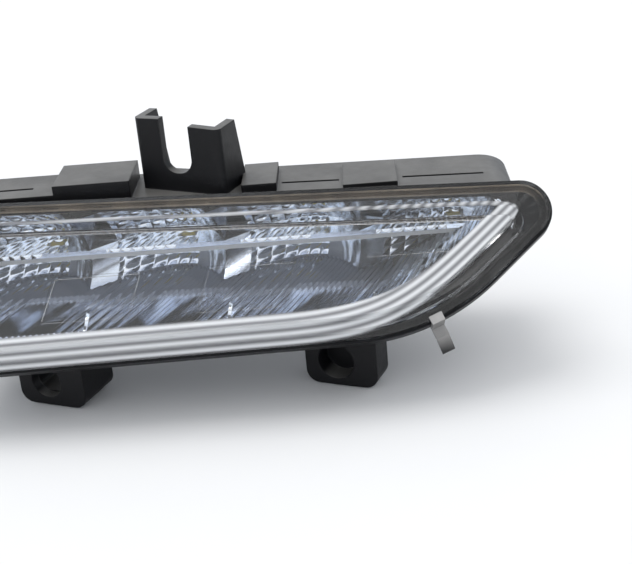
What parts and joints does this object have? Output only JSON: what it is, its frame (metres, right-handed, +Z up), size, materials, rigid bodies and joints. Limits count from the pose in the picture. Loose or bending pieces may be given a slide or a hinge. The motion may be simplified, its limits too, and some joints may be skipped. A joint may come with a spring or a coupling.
{
  "type": "bumper light",
  "caption": "Swept daytime-running bumper lamp with a stepped clear lens over a row of metallised parabolic cells, in a black housing with a slotted top bracket and bored lugs below",
  "frame": {"origin": "centre of the left lug's bore, halfway through its plate", "axes": "+X along the lens to the outer end, +Y rearward, +Z up; the fixings look along the car, turned 22 degrees from Y"},
  "size_m": [0.1637, 0.0728, 0.0693],
  "materials": {
    "black_plastic": "satin",
    "clear_lens": "gloss",
    "sealant": "matte",
    "metallised": "gloss",
    "board": "satin",
    "led": "satin",
    "chip": "matte",
    "can": "satin",
    "resistor": "satin",
    "pad": "matte",
    "aluminium": "satin",
    "screw_steel": "satin",
    "tinned_brass": "satin",
    "carrier_plastic": "matte",
    "membrane": "matte",
    "cap_plastic": "matte",
    "clip_steel": "satin"
  },
  "bodies": {
    "root": {"housing": "black_plastic", "lens": "clear_lens", "sealant_bead": "sealant", "reflector_lower": "metallised", "reflector_upper": "metallised", "led_board": "board", "lower_leds": "led", "upper_leds": "led", "driver_chip": "chip", "filter_capacitor": "can", "protection_diode": "chip", "ballast_resistors": "resistor", "thermal_pad": "pad", "heat_spreader": "aluminium", "board_screws": "screw_steel", "reflector_screws": "screw_steel", "connector_pins": "tinned_brass", "pin_carrier": "carrier_plastic", "vent_membrane": "membrane", "vent_cap": "cap_plastic", "retaining_clip": "clip_steel"}
  },
  "joints": []
}
